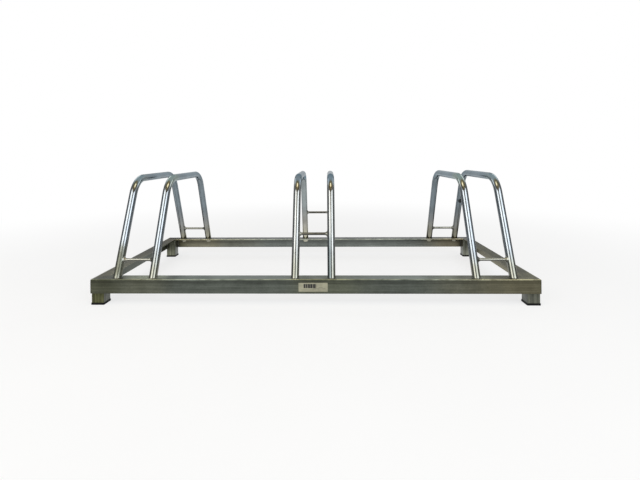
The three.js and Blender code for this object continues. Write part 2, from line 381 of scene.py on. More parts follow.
def rail_steel(finish, name, along):
    """Zinc of a rail along the axis given, with painted shade under the heel and a painted
    highlight along its edges, patchy like wear.
    """
    graph = Paint(name)
    low, high = frame_box()
    leg, width, top = high.z - low.z, high.y - low.y, high.z
    x, y, z = graph.axes(graph.place)
    reach = graph.absolute(x)
    reach_x, reach_y = graph.minus(reach, high.x), graph.minus(graph.absolute(y), -low.y)
    out = graph.math("MAXIMUM", reach_x, reach_y)
    on_top = graph.fade(z, top - 0.0008, top - 0.0002)
    back_half = graph.fade(y, -0.01, 0.01)
    left_end = graph.between(x, -0.43, -0.33, 0.025)

    # Colour along the rack: olive by the middle in front, warmer at the left behind
    across = graph.plus(x, graph.swing(graph.noise(graph.place, 5.0), 0.06))
    left, middle = opaque(finish.rail_left), opaque(finish.rail_middle)
    tint = graph.blend(graph.fade(across, -0.5, -0.33), left, middle)
    tint = graph.blend(graph.fade(across, 0.27, 0.45), tint, opaque(finish.rail_right))
    from_middle = graph.absolute(graph.minus(across, 0.02))
    olive = graph.blend(graph.fade(from_middle, 0.06, 0.16), (1.0, 0.97, 0.84, 1.0), WHITE)
    warm, cool = (1.08, 0.98, 0.92, 1.0), (0.98, 0.96, 1.04, 1.0)
    rear = graph.blend(graph.fade(across, -0.34, -0.16), warm, cool)
    tint = graph.cast(tint, graph.fade(y, 0.1, 0.2), rear, olive)

    # Painted shade and light: the outer face darker under the heel, the inner face darker under the
    # flange, and the flange tops lighter, the front one lightest near its left end, the back one
    # lightest at its toe
    outer_face = graph.fade(z, top - 0.015, top - 0.003, 1.0, 0.62)
    steep = graph.fade(z, top - leg + 0.002, top - 0.007, 1.5, 0.6)
    even = graph.fade(z, top - 0.027, top - 0.009, 1.72, 1.05)
    inner_face = graph.mix(graph.fade(across, 0.2, 0.36), even, steep)
    upright = graph.mix(graph.fade(out, -0.0012, -0.0004, 1.0, 0.0), outer_face, inner_face)
    front = graph.fade(reach, 0.12, 0.3, 1.5, 2.0)
    front = graph.mix(graph.fade(reach, 0.38, 0.44), front, 1.3)
    front = graph.times(front, graph.fade(left_end, 0.0, 1.0, 1.0, 1.6))
    toe_shade = 1.25 if along == "X" else 1.15
    back = graph.fade(y, -0.97 * width - low.y, -0.6 * width - low.y, toe_shade, 0.37)
    shade = graph.mix(on_top, upright, graph.mix(back_half, front, back))
    if along == "Y":
        # On the left side rail, painted shade and light: its upright faces darker and bluer, its
        # flange top lighter and warmer
        right_half = graph.fade(x, -0.1, 0.1)
        left_shade = graph.mix(on_top, 0.6, 1.3)
        shade = graph.times(shade, graph.mix(right_half, left_shade, 1.0))
        left_tint = graph.blend(on_top, (0.94, 1.0, 1.12, 1.0), (1.12, 1.0, 0.97, 1.0))
        tint = graph.cast(tint, right_half, WHITE, left_tint)

    # Painted highlight on the heel and toes, patchy like wear; painted shade at the corners; and
    # broad streaks
    # The heel's painted highlight is weaker near the left end
    heel_out = graph.fade(out, -0.003, -0.001)
    heel_up = graph.fade(z, top - 0.003, top - 0.001)
    heel = graph.times(heel_out, heel_up, graph.fade(x, -0.38, -0.3, 1.0, 3.0))
    toe_out = graph.fade(out, 0.0016 - width, 0.0002 - width)
    toe = graph.times(toe_out, graph.fade(z, top - 0.006, top - 0.004))
    if along == "X":
        # The back rail's toe gets a cream painted highlight
        tint = graph.cast(tint, graph.times(toe, back_half), (1.03, 1.0, 0.9, 1.0))
        tint = graph.cast(tint, left_end, (1.1, 1.04, 0.94, 1.0))
        # The back rail's painted toe highlight is made stronger, most towards the right
        toe = graph.times(toe, graph.mix(back_half, 1.0, graph.fade(x, 0.27, 0.34, 3.2, 4.6)))
    patches = graph.fade(graph.noise(graph.place, 45.0), 0.3, 0.6, 0.3, 0.85)
    highlight_and_wear = graph.times(graph.math("MAXIMUM", heel, toe), patches)
    corner = [graph.fade(value, -0.0022, -0.0008) for value in (reach_x, reach_y)]
    broad = (2.2, 60.0, 260.0) if along == "X" else (60.0, 2.2, 260.0)
    streaks = graph.swing(graph.drawn(graph.place, broad, 3.0, 0.55), 0.14, 1.0)
    # Painted shade darkens the rails' outer faces at the mitred corners
    corner_shade = graph.mix(graph.times(*corner), 1.0, 0.5)
    tint = graph.scale(tint, graph.times(shade, graph.plus(1.0, highlight_and_wear), corner_shade, streaks))
    stretch = (14.0, 1100.0, 1100.0) if along == "X" else (1100.0, 14.0, 1100.0)
    return graph.zinc(tint, stretch, finish.rail_shine, spread=0.12, dirt=0.2, lines=0.8)


def tube_steel(finish):
    """Zinc of the hoops, yellower by the leg ends, bluer on the level bars in a painted reflection,
    stained on one leg.
    """
    graph = Paint("tube zinc")
    place = graph.place
    run = graph.add("ShaderNodeAttribute", attribute_name="tube_run").outputs["Vector"]
    sideways = graph.axes(run)[0]
    x, y, z = graph.axes(place)
    reach = graph.absolute(x)
    uneven = graph.swing(graph.noise(place, 16.0, 4.0), 0.012)
    height = graph.plus(z, uneven)
    outer = graph.fade(reach, 0.1, 0.3)
    rear = graph.fade(y, 0.06, 0.13)
    tint = graph.blend(outer, opaque(finish.tube_middle), opaque(finish.tube))
    tint = graph.blend(graph.fade(height, 0.065, 0.13), opaque(finish.tube_foot), tint)
    # The level bars turn bluer: a painted reflection
    tint = graph.blend(graph.fade(height, 0.262, 0.276), tint, opaque(finish.tube_top))

    # A brown stain, a dark mark, and a darker, bluer band low down one side of a middle leg, each
    # on one leg
    low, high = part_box("left_bay_left_hoop")
    spot = ((low.x + high.x) / 2, low.y + 0.022, low.z + 0.04)
    stained = graph.fade(graph.plus(graph.distance(place, spot), uneven), 0.026, 0.056, 0.8, 0.0)
    tint = graph.blend(stained, tint, opaque(finish.tube_stain))
    low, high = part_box("right_bay_right_hoop")
    spot = ((low.x + high.x) / 2 + 0.001, high.y - 0.0748, low.z + 0.1388)
    away = graph.math("MULTIPLY_ADD", uneven, 0.15, graph.distance(place, spot))
    marked = graph.fade(away, 0.0045, 0.0085, 0.92, 0.0)
    tint = graph.blend(marked, tint, (0.03, 0.031, 0.03, 1.0))
    away = graph.absolute(graph.minus(x, centre("middle_bay_right_hoop").x))
    banded = graph.times(
        graph.fade(away, 0.01, 0.014, 1.0, 0.0),
        graph.fade(height, 0.12, 0.17, 0.75, 0.0),
        graph.fade(sideways, -0.002, 0.0025, 1.0, 0.0),
        graph.fade(y, -0.05, 0.05, 1.0, 0.0),
    )
    tint = graph.blend(banded, tint, opaque(finish.tube_smear))

    # Painted shade and light on the back legs: lighter low down and darker higher up, darker on the
    # right bay and on the outward sides of the outer pairs, warmer low and bluer high. The tint
    # that the tubes show at a grazing angle is a painted reflection.
    outward_side = graph.times(sideways, graph.math("SIGN", x))
    rim = graph.mix(outer, 1.0, graph.fade(outward_side, 0.0035, 0.0075, 1.0, 0.25))
    middle_lift = graph.fade(z, 0.08, 0.12, 2.15, 1.15)
    outer_lift = graph.fade(z, 0.08, 0.16, 1.22, 0.84)
    lift = graph.mix(outer, middle_lift, outer_lift)
    lift = graph.times(lift, rim, graph.fade(x, 0.28, 0.45, 1.0, 0.77))
    tint = graph.scale(tint, graph.mix(rear, 1.0, lift))
    front_top = graph.blend(outer, (0.41, 0.48, 0.52, 1.0), (0.7, 0.745, 0.765, 1.0))
    rear_top = graph.blend(outer, (0.45, 0.52, 0.56, 1.0), (0.57, 0.61, 0.63, 1.0))
    high_up = graph.fade(z, 0.245, 0.265)
    grazing = graph.blend(high_up, (0.6, 0.6, 0.6, 1.0), graph.blend(rear, front_top, rear_top))
    grazing = graph.scale(grazing, graph.mix(rear, 1.0, rim))
    warm, cool = (1.03, 0.99, 0.93, 1.0), (0.9, 0.99, 1.02, 1.0)
    tint = graph.cast(tint, rear, graph.blend(graph.fade(z, 0.11, 0.18), warm, cool))

    # Painted reflection on the front bends of the outer pairs, lighter and greener, most on their
    # inner hoops
    bend = graph.times(outer, graph.between(y, -0.128, -0.072, 0.014))
    bend = graph.times(bend, graph.fade(reach, 0.39, 0.42, 1.0, 0.35))
    tint = graph.cast(tint, bend, (1.2, 1.19, 0.98, 1.0))
    dulled = graph.math("MULTIPLY_ADD", stained, 0.3, finish.tube_shine)
    return graph.zinc(
        tint, (700.0, 700.0, 3.0), dulled, spread=0.05, dirt=0.12, lines=0.3, waves=0.03,
        edge=grazing, run=run,
    )


def rod_steel(finish):
    """Zinc of the cross rods, darker on the middle pair, with painted shade on their undersides."""
    graph = Paint("rod zinc")
    x, _, z = graph.axes(graph.place)
    reach = graph.absolute(x)
    middle_z = centre("middle_bay_front_rod").z
    low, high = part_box("left_bay_front_rod")
    outer_z, half, pitch = (low.z + high.z) / 2, (high.x - low.x) / 2, abs(low.x + high.x) / 2
    # Painted shade on the rods' undersides
    under = graph.fade(z, outer_z - 0.0016, outer_z + 0.0012, 0.4, 1.0)
    under_middle = graph.fade(z, middle_z - 0.0014, middle_z + 0.0014, 0.25, 0.5)
    middle = graph.mix(graph.fade(reach, 0.024, 0.03), under_middle, 0.8)
    tint = graph.scale(tuple(finish.rod), graph.mix(graph.fade(reach, 0.1, 0.2), middle, under))
    along = graph.math("PINGPONG", graph.plus(reach, pitch), pitch)
    tint = graph.scale(tint, graph.fade(along, half - 0.009, half - 0.003, 1.0, 0.9))
    stretch = (7.0, 500.0, 500.0)
    return graph.zinc(tint, stretch, 0.24, spread=0.1, dirt=0.25, lines=0.4, waves=0.05)


def foot_steel(finish):
    """Zinc of the feet, greener at the left, with upright drawn lines and a shaded upper end; the
    shade is painted, and so is the light that makes the back feet greyer and lighter and gives the
    inner sides their own tone.
    """
    graph = Paint("foot zinc")
    x, y, z = graph.axes(graph.place)
    left, right = opaque(finish.foot_left), opaque(finish.foot_right)
    tint = graph.blend(graph.fade(x, -0.2, 0.2), left, right)
    # The back feet take the right feet's grey, part of their painted light
    tint = graph.blend(graph.fade(y, -0.1, 0.1, 0.0, 0.7), tint, right)
    # The inner sides take their own tone: painted light
    inner_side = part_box("front_right_foot")[0].x
    side = graph.fade(graph.absolute(x), inner_side + 0.0001, inner_side + 0.0005, 0.9, 0.0)
    tint = graph.blend(side, tint, opaque(finish.foot_side))
    lines = graph.drawn(graph.place, (260.0, 260.0, 9.0), 2.0)
    # Painted light and shade: the back feet lighter and the upper end darker; then the drawn lines
    for shade in (
        graph.fade(y, -0.1, 0.1, 1.0, 1.45),
        graph.fade(z, 0.012, 0.03, 1.12, 0.72),
        graph.fade(lines, 0.35, 0.65, 0.72, 1.28),
    ):
        tint = graph.scale(tint, shade)
    return graph.zinc(tint, (800.0, 800.0, 25.0), 0.36, spread=0.12, dirt=0.25, lines=0.8)


def weld_metal(finish):
    """Plated weld beads, rough and unevenly tinted, darker at the ends of the rack with painted
    shade.
    """
    graph = Paint("weld zinc")
    heat = graph.fade(graph.noise(graph.place, 180.0, 4.0), 0.35, 0.65)
    cool = graph.vector("MULTIPLY", tuple(finish.weld), (0.62, 0.66, 0.74))
    reach = graph.absolute(graph.axes(graph.place)[0])
    base = graph.blend(heat, cool, opaque(finish.weld))
    # Painted shade darkens the welds at the ends of the rack
    base = graph.scale(base, graph.fade(reach, 0.44, 0.46, 1.0, 0.36))
    return graph.zinc(base, (600.0, 600.0, 600.0), 0.38, spread=0.16, dirt=0.4, lines=1.0)


def cap_plastic(finish):
    """Black moulded plastic with a fine grain and scuffs."""
    graph = Paint("cap plastic")
    scuffs = graph.fade(graph.drawn(graph.place, (90.0, 90.0, 700.0), 5.0), 0.55, 0.72)
    scuffed = [3.2 * tone for tone in finish.cap]
    inputs = {
        "Base Color": graph.blend(scuffs, opaque(finish.cap), opaque(scuffed)),
        "Roughness": graph.fade(scuffs, 0.0, 1.0, 0.5, 0.7),
        "Specular IOR Level": 0.12,
        "Normal": graph.bump(graph.noise(graph.place, 2600.0, 2.0), 0.25, 0.00008),
    }
    return graph.surface("ShaderNodeBsdfPrincipled", inputs)


def label_paper(finish):
    """Cream paper with a block of plain bars and three faint rules, as shares of its size."""
    graph = Paint("label paper")
    low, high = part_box("label")
    size = high - low
    x, _, z = graph.axes(graph.vector("SUBTRACT", graph.place, tuple(centre("label"))))
    across, up = graph.math("DIVIDE", x, size.x), graph.math("DIVIDE", z, size.z)
    soft_x, soft_z, half_rule, faint = 0.004, 0.012, 0.025, 0.5
    stripes = graph.add(
        "ShaderNodeTexNoise", {"W": across, "Scale": 44.0, "Detail": 2.0}, noise_dimensions="1D"
    ).outputs[0]
    printed = graph.times(
        graph.fade(stripes, 0.42, 0.44),
        graph.between(across, -0.325, 0.105, soft_x),
        graph.between(up, -0.1, 0.37, soft_z),
    )
    for height, start, end in ((-0.02, 0.19, 0.33), (-0.17, -0.02, 0.42), (-0.3, -0.4, 0.1)):
        rule = graph.times(
            graph.between(up, height - half_rule, height + half_rule, soft_z),
            graph.between(across, start, end, soft_x),
            faint,
        )
        printed = graph.math("MAXIMUM", printed, rule)
    fibres = graph.drawn(graph.place, (900.0, 900.0, 1400.0))
    soil = graph.fade(graph.noise(graph.place, 70.0, 5.0), 0.35, 0.75, 1.06, 0.8)
    paper = graph.scale(tuple(finish.paper), soil)
    inputs = {
        "Base Color": graph.blend(printed, paper, opaque(finish.ink)),
        "Roughness": graph.fade(fibres, 0.3, 0.7, 0.5, 0.68),
        "Normal": graph.bump(fibres, 0.2, 0.00006),
    }
    return graph.surface("ShaderNodeBsdfPrincipled", inputs)


def loose_object(name, mesh):
    """An object at the origin, linked to the scene."""
    thing = bpy.data.objects.new(name, mesh)
    bpy.context.scene.collection.objects.link(thing)
    return thing


def modified(name, mesh, kind, inputs=None, **settings):
    """A plain mesh of what a modifier makes of a mesh."""
    holder = loose_object(name, mesh)
    modifier = holder.modifiers.new(name, kind)
    for key, value in settings.items():
        setattr(modifier, key, value)
    for key, value in (inputs or {}).items():
        modifier[key] = value
    bpy.context.view_layer.update()
    depsgraph = bpy.context.evaluated_depsgraph_get()
    made = bpy.data.meshes.new_from_object(
        holder.evaluated_get(depsgraph), preserve_all_data_layers=True, depsgraph=depsgraph
    )
    holder.modifiers.remove(modifier)
    bpy.data.objects.remove(holder)
    return made


def outward(mesh):
    """Merges a mesh's doubles and turns its faces outwards."""
    shape = bmesh.new()
    shape.from_mesh(mesh)
    bmesh.ops.remove_doubles(shape, verts=shape.verts, dist=1e-7)
    bmesh.ops.recalc_face_normals(shape, faces=shape.faces)
    if shape.calc_volume(signed=True) < 0:
        bmesh.ops.reverse_faces(shape, faces=shape.faces)
    shape.to_mesh(mesh)
    shape.free()


def solid_mesh(name, corners, faces):
    """A closed mesh from its corners and faces."""
    mesh = bpy.data.meshes.new(name)
    mesh.from_pydata([tuple(corner) for corner in corners], [], faces)
    outward(mesh)
    return mesh


def ringed(rings, closed=False):
    """Corners and faces of a solid through rings of corners, capped or closed on itself."""
    count = len(rings[0])
    corners = [corner for ring in rings for corner in ring]
    last = len(corners) - count
    faces = [] if closed else [list(range(count)), list(range(last, len(corners)))]
    for j in range(len(rings) if closed else len(rings) - 1):
        here, ahead = j * count, (j + 1) % len(rings) * count
        for i in range(count):
            beside = (i + 1) % count
            faces.append([here + i, here + beside, ahead + beside, ahead + i])
    return corners, faces


def show(name, mesh, material, nodes=(), sharp=35.0):
    """Shows a mesh as a piece of the rack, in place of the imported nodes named."""
    mesh.materials.clear()
    mesh.materials.append(material)
    mesh.shade_smooth()
    mesh.set_sharp_from_angle(angle=math.radians(sharp))
    piece = loose_object(name, mesh)
    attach(piece, "root")
    if nodes:
        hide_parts(*nodes)


def with_nodes(name, mesh, tree, values):
    """A plain mesh of what a Geometry Nodes tree makes of a mesh."""
    given = [item for item in tree.interface.items_tree if item.in_out == "INPUT"]
    sockets = {item.name: item.identifier for item in given}
    inputs = {sockets[key]: value for key, value in values.items()}
    return modified(name, mesh, "NODES", inputs, node_group=tree)


def tree_with(name, inputs):
    """A Geometry Nodes tree with its named inputs, as tree, graph, input node and output node."""
    tree = bpy.data.node_groups.new(name, "GeometryNodeTree")
    for label, kind in (("Geometry", "Geometry"), *inputs, ("Material", "Material")):
        tree.interface.new_socket(label, in_out="INPUT", socket_type=f"NodeSocket{kind}")
    tree.interface.new_socket("Geometry", in_out="OUTPUT", socket_type="NodeSocketGeometry")
    graph = Graph(tree)
    return tree, graph, graph.add("NodeGroupInput").outputs, graph.add("NodeGroupOutput").inputs


def finish_tree(graph, geometry, given, end):
    """Ends a tree in Realize Instances and Set Material."""
    real = graph.add("GeometryNodeRealizeInstances", {0: geometry}).outputs[0]
    inputs = {"Geometry": real, "Material": given["Material"]}
    graph.put(end["Geometry"], graph.add("GeometryNodeSetMaterial", inputs).outputs[0])


def polar(radius, turn):
    return radius * math.cos(turn), radius * math.sin(turn)


def round_turns(count):
    """Angles of points spaced evenly round a circle."""
    return [2 * math.pi * i / count for i in range(count)]


def arc(middle, radius, start, end, steps):
    """Points of an arc between two angles in degrees."""
    points = []
    for i in range(steps + 1):
        across, up = polar(radius, math.radians(start + (end - start) * i / steps))
        points.append((middle[0] + across, middle[1] + up))
    return points


def rail_section(sizes, leg, width):
    """Angle section: distance in from the outer face, and height from the top."""
    wall, root, toe, heel = sizes.rail_wall, sizes.rail_root, sizes.rail_toe, sizes.rail_heel
    inner, hold = root + wall, toe
    section = arc((heel, -heel), heel, 180, 90, 8)
    section += [(heel + hold, 0), (width - toe - hold, 0)]
    section += arc((width - toe, -toe), toe, 90, 0, 3)
    section += arc((width - toe, toe - wall), toe, 0, -90, 3)
    section += [(width - toe - hold, -wall), (inner + hold, -wall)]
    section += arc((inner, -inner), root, 90, 180, 5)
    section += [(wall, -inner - hold), (wall, toe + hold - leg)]
    section += arc((wall - toe, toe - leg), toe, 0, -90, 3)
    section += arc((toe, toe - leg), toe, -90, -180, 3)
    section += [(0, toe + hold - leg), (0, -heel - hold)]
    return section


def rail_mesh(name, section, run, outer, top, turn, gap, steps=24):
    """A rail of the section given, mitred at both ends and turned about the rack's middle."""
    spin = Matrix.Rotation(turn, 3, "Z")
    rings = []
    for j in range(steps + 1):
        ring = []
        for inward, height in section:
            reach = run / 2 - inward - gap / math.sqrt(2)
            ring.append(spin @ Vector(((2 * j / steps - 1) * reach, inward - outer, top + height)))
        rings.append(ring)
    return solid_mesh(name, *ringed(rings))


def leg_line(node, lean):
    """A hoop's tube radius, and the middle of its back leg's end, from its packed box."""
    low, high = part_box(node)
    radius = (high.x - low.x) / 2
    across, up = polar(radius, lean)
    return radius, Vector(((low.x + high.x) / 2, high.y - across, low.z + up))


def leg_at(end, lean, height):
    """Distance of a leg's middle from the rack's middle, at a height."""
    return end.y - (height - end.z) * math.tan(lean)


def leg_cylinder(x, side, reach, height, radius, lean, half, sides=64):
    """Corners and faces of a round solid along a leg, centred where the leg has a height."""
    along = Vector((0, -side * math.sin(lean), math.cos(lean)))
    across = Vector((0, math.cos(lean), side * math.sin(lean)))
    rings = []
    for step in (-1, 1):
        middle = Vector((x, side * reach, height)) + along * half * step
        round_it = [polar(radius, turn) for turn in round_turns(sides)]
        rings.append([middle + Vector((a, 0, 0)) + across * b for a, b in round_it])
    return ringed(rings)


def cut(mesh, cutter_mesh):
    """A mesh with the cutter's solids taken out."""
    cutter = loose_object("cutter", cutter_mesh)
    made = modified("uncut", mesh, "BOOLEAN", operation="DIFFERENCE", solver="EXACT", object=cutter)
    bpy.data.objects.remove(cutter)
    return made


def square_ring(half, radius, height, steps=6):
    """Corners of a rounded square."""
    core = half - radius
    ring = []
    for corner in range(4):
        middle = QUARTER * (corner + 0.5)
        x, y = math.copysign(core, math.cos(middle)), math.copysign(core, math.sin(middle))
        for i in range(steps + 1):
            across, along = polar(radius, QUARTER * (corner + i / steps))
            ring.append(Vector((x + across, y + along, height)))
    return ring


def square_turned(name, node, profile, closed):
    """Rounded squares joined one to the next, closed or capped, upright about a node's middle."""
    middle = centre(node)
    middle.z = 0.0
    rings = [[corner + middle for corner in square_ring(*level_of)] for level_of in profile]
    return solid_mesh(name, *ringed(rings, closed))


def hoop_tree():
    """Bends a tube from one leg end over the level bar to the other leg end."""
    inputs = (
        ("Leg end", "Vector"),
        ("Corner", "Vector"),
        ("Bend radius", "Float"),
        ("Bend steps", "Int"),
        ("Tube radius", "Float"),
        ("Tube sides", "Int"),
    )
    tree, graph, given, end = tree_with("Bent hoop", inputs)
    flip = (1.0, -1.0, 1.0)
    corners = {
        "Point 1": graph.vector("MULTIPLY", given["Leg end"], flip),
        "Point 2": graph.vector("MULTIPLY", given["Corner"], flip),
        "Point 3": given["Corner"],
        "Point 4": given["Leg end"],
    }
    outline = graph.add("GeometryNodeCurvePrimitiveQuadrilateral", corners, mode="POINTS")
    opened = graph.add("GeometryNodeSetSplineCyclic", {0: outline.outputs[0], "Cyclic": False})
    fillet = {0: opened.outputs[0], "Count": given["Bend steps"], "Radius": given["Bend radius"]}
    bent = graph.add("GeometryNodeFilletCurve", fillet, mode="POLY")
    path = graph.add("GeometryNodeCaptureAttribute", {0: bent.outputs[0]})
    path.capture_items.new("FLOAT", "Run")
    graph.put(path.inputs["Run"], graph.add("GeometryNodeSplineParameter").outputs["Length"])
    circle = {"Resolution": given["Tube sides"], "Radius": given["Tube radius"]}
    ring = graph.add("GeometryNodeCurvePrimitiveCircle", circle, mode="RADIUS")
    around = graph.add("GeometryNodeCaptureAttribute", {0: ring.outputs[0]})
    around.capture_items.new("VECTOR", "Section")
    graph.put(around.inputs["Section"], graph.add("GeometryNodeInputPosition").outputs[0])
    tube = graph.add("GeometryNodeCurveToMesh", {0: path.outputs[0], 1: around.outputs[0]})
    x, y, _ = graph.axes(around.outputs["Section"])
    run = graph.add("ShaderNodeCombineXYZ", {0: x, 1: y, 2: path.outputs["Run"]})
    stored = graph.add(
        "GeometryNodeStoreNamedAttribute", {"Geometry": tube.outputs[0], "Name": "tube_run"},
        data_type="FLOAT_VECTOR", domain="POINT",
    )
    graph.put(stored.inputs["Value"], run.outputs[0])
    finish_tree(graph, stored.outputs[0], given, end)
    return tree


def weld_tree():
    """Lays a rippled bead along each path; the paths' own attribute gives its radius."""
    inputs = (
        ("Step", "Float"),
        ("Ripple pitch", "Float"),
        ("Ripple depth", "Float"),
        ("Unevenness", "Float"),
        ("Seed", "Int"),
        ("Bead sides", "Int"),
    )
    tree, graph, given, end = tree_with("Weld bead", inputs)
    path = graph.add("GeometryNodeMeshToCurve", {0: given["Geometry"]})
    spacing = {0: path.outputs[0], "Length": given["Step"]}
    fine = graph.add("GeometryNodeResampleCurve", spacing, mode="LENGTH")
    bead = graph.add("GeometryNodeInputNamedAttribute", {"Name": "bead"}, data_type="FLOAT")
    run = graph.add("GeometryNodeSplineParameter").outputs["Length"]
    turns = graph.math("DIVIDE", graph.times(run, 2 * math.pi), given["Ripple pitch"])
    place = graph.add("GeometryNodeInputPosition").outputs[0]
    cloud = {"Vector": place, "W": given["Seed"], "Scale": 170.0, "Detail": 2.0}
    lumps = graph.add("ShaderNodeTexNoise", cloud, noise_dimensions="4D").outputs[0]
    swell = graph.times(graph.minus(lumps, 0.5), given["Unevenness"])
    ripple = graph.times(graph.math("SINE", turns), given["Ripple depth"])
    scale = graph.times(bead.outputs[0], graph.plus(graph.plus(1.0, ripple), swell))
    circle = {"Resolution": given["Bead sides"], "Radius": 1.0}
    ring = graph.add("GeometryNodeCurvePrimitiveCircle", circle, mode="RADIUS")
    parts = {0: fine.outputs[0], 1: ring.outputs[0], "Scale": scale, "Fill Caps": True}
    finish_tree(graph, graph.add("GeometryNodeCurveToMesh", parts).outputs[0], given, end)
    return tree


def path_mesh(name, paths):
    """Edges along paths, each a list of points, a bead radius and whether it closes."""
    corners, edges, radii = [], [], []
    for points, radius, closed in paths:
        first = len(corners)
        corners += [tuple(point) for point in points]
        radii += [radius] * len(points)
        edges += [(first + i, first + i + 1) for i in range(len(points) - 1)]
        if closed:
            edges.append((len(corners) - 1, first))
    mesh = bpy.data.meshes.new(name)
    mesh.from_pydata(corners, edges, [])
    mesh.attributes.new("bead", "FLOAT", "POINT").data.foreach_set("value", radii)
    return mesh


def seam(start, end, bead, count=12):
    """A straight path for a bead."""
    points = [Vector(start).lerp(Vector(end), i / (count - 1)) for i in range(count)]
    return points, bead, False


def weld_piece(name, paths, material, seed, ripple=0.12, uneven=0.5):
    """A piece with a weld bead along each path."""
    values = {
        "Step": 0.0006,
        "Ripple pitch": 0.0022,
        "Ripple depth": ripple,
        "Unevenness": uneven,
        "Seed": seed,
        "Bead sides": 12,
        "Material": material,
    }
    mesh = with_nodes(name, path_mesh(name, paths), weld_tree(), values)
    outward(mesh)
    show(name, mesh, material, sharp=60.0)


def rod_mesh(name, sizes, node, hoop, turn_seed):
    """A cross rod whose ends swell into uneven welds that sit on the legs."""
    lean = sizes.leg_lean
    middle = centre(node)
    side = math.copysign(1.0, middle.y)
    tube, end = leg_line(hoop, lean)
    half = abs(end.x - middle.x)
    radius = sizes.rod_diameter / 2
    reach = leg_at(end, lean, middle.z)
    sides, fillet, straight_steps = 36, 9, 8
    widest = 0.88 * tube - radius
    lift = 0.0004  # of the weld's edge off the tube
    foot_share = 0.8  # of the flare, along the rod
    left_right = []
    for hand in (-1, 1):
        seed = turn_seed + (3.0 if hand > 0 else 0.0)
        bulk = 0.9 + 0.2 * (0.5 + 0.5 * math.sin(1.7 * seed))
        rings = []
        for i in range(fillet + 1):
            sweep = QUARTER * i / fillet
            rise = 1 - math.sin(sweep)
            ring = []
            for turn in round_turns(sides):
                lump = 0.12 * math.sin(2 * turn + seed) + 0.08 * math.sin(3 * turn + 2.3 * seed)
                flare = sizes.rod_flare * (1.0 + lump) * bulk
                across = (radius + min(flare, widest) * rise) * math.cos(turn)
                along = (radius + flare * rise) * math.sin(turn)
                dy = across * math.cos(lean) - side * along * math.sin(lean)
                dz = side * across * math.sin(lean) + along * math.cos(lean)
                seat = half - math.sqrt(tube * tube - across * across)
                x = seat + lift - (foot_share * flare + lift) * (1 - math.cos(sweep))
                ring.append(Vector((middle.x + hand * x, side * reach + dy, middle.z + dz)))
            rings.append(ring)
        left_right.append(rings)
    left, right = left_right
    ends = list(zip(left[-1], right[-1]))
    shares = [i / straight_steps for i in range(1, straight_steps)]
    bar = [[a.lerp(b, share_of) for a, b in ends] for share_of in shares]
    return solid_mesh(name, *ringed([*left, *bar, *reversed(right)]))


class RackOperator:
    """What the rack's operators share."""

    bl_options = {"REGISTER", "UNDO"}


class RACK_OT_rails(RackOperator, bpy.types.Operator):
    """Make the four mitred rails, with the holes for the hoops' legs"""

    bl_idname = "rack.rails"
    bl_label = "Rails"

    def execute(self, context):
        sizes, finish = context.scene.rack_sizes, context.scene.rack_finish
        low, high = frame_box()
        leg = high.z - low.z
        need(leg > sizes.rail_wall, "the rail's wall is thicker than its leg")
        run, outer = high.x - low.x, -low.y
        section = rail_section(sizes, leg, high.y - low.y)
        lengthways = rail_steel(finish, "rail zinc lengthways", "X")
        crossways = rail_steel(finish, "rail zinc crossways", "Y")
        for name, span, out, turn, material in (
            ("front_rail", run, outer, 0.0, lengthways),
            ("back_rail", run, outer, math.pi, lengthways),
            ("left_rail", 2 * outer, run / 2, -QUARTER, crossways),
            ("right_rail", 2 * outer, run / 2, QUARTER, crossways),
        ):
            piece = f"{name}_angle"
            mesh = rail_mesh(piece, section, span, out, high.z, turn, sizes.mitre_gap)
            if material is lengthways:
                mesh = cut(mesh, self.cutters(sizes, high.z, 1.0 if turn else -1.0))
            show(piece, mesh, material, [name])
        return {"FINISHED"}

    def cutters(self, sizes, top, side):
        lean, half = sizes.leg_lean, 0.008
        height = top - sizes.rail_wall / 2
        corners, faces = [], []
        for hoop in HOOPS:
            radius, end = leg_line(hoop, lean)
            reach, bore = leg_at(end, lean, height), radius + CLEARANCE
            drum = leg_cylinder(end.x, side, reach, height, bore, lean, half)
            faces += [[i + len(corners) for i in face] for face in drum[1]]
            corners += drum[0]
        return solid_mesh("leg cutters", corners, faces)


class RACK_OT_feet(RackOperator, bpy.types.Operator):
    """Make the four feet of square tube"""

    bl_idname = "rack.feet"
    bl_label = "Feet"

    def execute(self, context):
        sizes = context.scene.rack_sizes
        material = foot_steel(context.scene.rack_finish)
        roof = frame_box()[1].z - sizes.rail_wall - CLEARANCE
        edge, bore_radius = 0.0003, 0.0005
        bevel, radius = sizes.rail_root, sizes.foot_radius
        for end, side in CORNERS:
            name = f"{end}_{side}_foot"
            low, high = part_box(name)
            head = min(high.z, roof)
            outer = (high.x - low.x) / 2
            inner = outer - sizes.foot_wall
            need(inner > 0, "the foot's wall is thicker than the foot")
            profile = [
                (outer - edge, radius - edge, low.z),
                (outer, radius, low.z + edge),
                (outer, radius, low.z + 2 * edge),
                (outer, radius, head - bevel - edge),
                (outer, radius, head - bevel),
                (outer - bevel, radius - bevel, head),
                (inner, bore_radius, head),
                (inner, bore_radius, low.z),
            ]
            mesh = square_turned(f"{name}_tube", name, profile, True)
            show(f"{name}_tube", mesh, material, [name])
        return {"FINISHED"}


